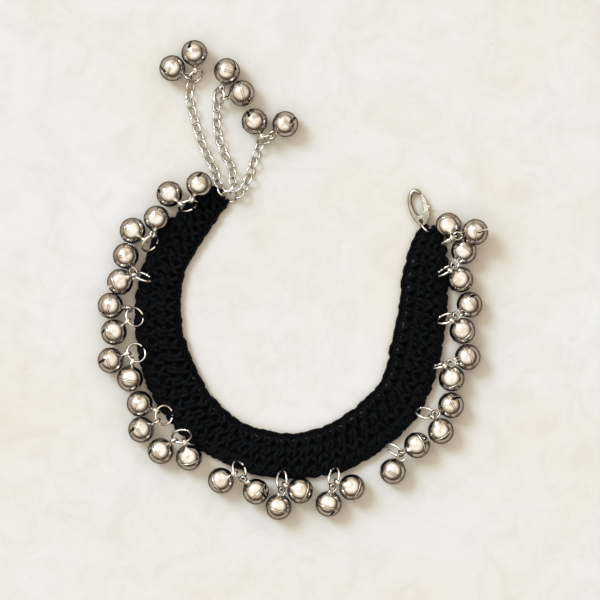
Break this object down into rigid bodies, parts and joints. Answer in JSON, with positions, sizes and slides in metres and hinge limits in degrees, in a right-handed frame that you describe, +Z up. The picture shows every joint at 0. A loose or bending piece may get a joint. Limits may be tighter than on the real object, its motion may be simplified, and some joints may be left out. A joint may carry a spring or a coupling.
{
  "type": "bell choker",
  "caption": "Crocheted thread necklace with a scalloped row of small round bells on jump rings, three short chains with bells at one end and a lobster clasp at the other",
  "frame": {"origin": "Under the middle of the whole piece, on the surface that it lies on", "axes": "+Y from the front of the collar to its open ends, +X to the right seen from above, +Z up"},
  "size_m": [0.1902, 0.234, 0.0178],
  "materials": {
    "thread": "matt black cotton thread, crocheted",
    "bright_metal": "polished nickel plate",
    "clasp_metal": "polished, slightly duller than the bells"
  },
  "bodies": {
    "necklace": {"band": "thread", "jump_ring_01": "bright_metal", "jump_ring_02": "bright_metal", "jump_ring_03": "bright_metal", "jump_ring_04": "bright_metal", "jump_ring_05": "bright_metal", "jump_ring_06": "bright_metal", "jump_ring_07": "bright_metal", "jump_ring_08": "bright_metal", "jump_ring_09": "bright_metal", "jump_ring_10": "bright_metal", "jump_ring_11": "bright_metal", "jump_ring_12": "bright_metal", "jump_ring_13": "bright_metal", "jump_ring_14": "bright_metal", "jump_ring_15": "bright_metal", "jump_ring_16": "bright_metal", "bell_01a": "bright_metal", "bell_01b": "bright_metal", "bell_02a": "bright_metal", "bell_02b": "bright_metal", "bell_03a": "bright_metal", "bell_03b": "bright_metal", "bell_04a": "bright_metal", "bell_04b": "bright_metal", "bell_05a": "bright_metal", "bell_05b": "bright_metal", "bell_06a": "bright_metal", "bell_06b": "bright_metal", "bell_07a": "bright_metal", "bell_07b": "bright_metal", "bell_08a": "bright_metal", "bell_08b": "bright_metal", "bell_09a": "bright_metal", "bell_09b": "bright_metal", "bell_10a": "bright_metal", "bell_10b": "bright_metal", "bell_11a": "bright_metal", "bell_11b": "bright_metal", "bell_12a": "bright_metal", "bell_12b": "bright_metal", "bell_13a": "bright_metal", "bell_13b": "bright_metal", "bell_14a": "bright_metal", "bell_14b": "bright_metal", "bell_15a": "bright_metal", "bell_15b": "bright_metal", "bell_16a": "bright_metal", "bell_16b": "bright_metal", "chain_left": "bright_metal", "chain_middle": "bright_metal", "chain_right": "bright_metal", "bell_left_a": "bright_metal", "bell_left_b": "bright_metal", "bell_middle_a": "bright_metal", "bell_middle_b": "bright_metal", "bell_right_a": "bright_metal", "bell_right_b": "bright_metal", "clasp_body": "clasp_metal"},
    "lever": {"clasp_lever": "clasp_metal"}
  },
  "joints": [
    {"name": "lever_hinge", "type": "hinge", "parent": "necklace", "child": "lever", "pos_m": [0.06568, 0.03207, 0.00283], "axis": [-0.1371, -0.0242, 0.9903], "range_deg": [0, 18], "stiffness_Nm_per_rad": 0.01, "springref_deg": -11.46}
  ]
}
